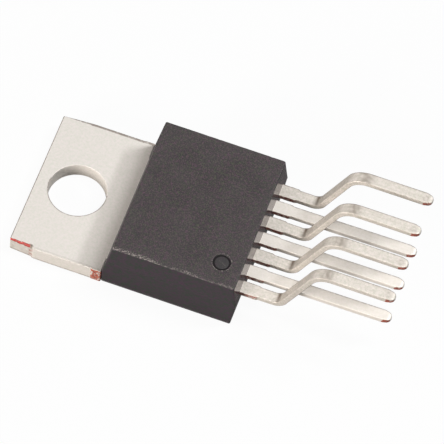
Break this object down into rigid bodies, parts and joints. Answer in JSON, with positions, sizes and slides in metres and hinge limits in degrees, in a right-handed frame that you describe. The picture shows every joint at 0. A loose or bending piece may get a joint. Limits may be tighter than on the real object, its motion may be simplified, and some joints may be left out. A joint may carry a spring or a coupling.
{
  "type": "voltage regulator",
  "caption": "Power voltage regulator in a flat moulded package, with a screw down heat sink tab and staggered formed leads.",
  "frame": {"origin": "centre of the screw hole on the back face of the heat sink, which the part lies on", "axes": "+X from the tab to the lead tips, +Y across the row of leads away from lead 1, +Z out of the front face along the screw hole"},
  "size_m": [0.0247, 0.0102, 0.0078],
  "materials": {
    "tinned_copper": "matt tin plate on copper",
    "mould_compound": "fine spark eroded matt black epoxy",
    "silicon": "polished",
    "solder": "matt solder",
    "bond_wire": "bright drawn wire"
  },
  "bodies": {
    "root": {"heat_sink_and_ground_lead": "tinned_copper", "lead_1": "tinned_copper", "lead_2": "tinned_copper", "lead_3": "tinned_copper", "lead_5": "tinned_copper", "lead_6": "tinned_copper", "lead_7": "tinned_copper", "silicon_die": "silicon", "die_attach_solder": "solder", "bond_wire_1": "bond_wire", "bond_wire_2": "bond_wire", "bond_wire_3": "bond_wire", "bond_wire_ground": "bond_wire", "bond_wire_5_inner": "bond_wire", "bond_wire_5_outer": "bond_wire", "bond_wire_6": "bond_wire", "bond_wire_7_inner": "bond_wire", "bond_wire_7_outer": "bond_wire", "mould_body": "mould_compound"}
  },
  "joints": []
}
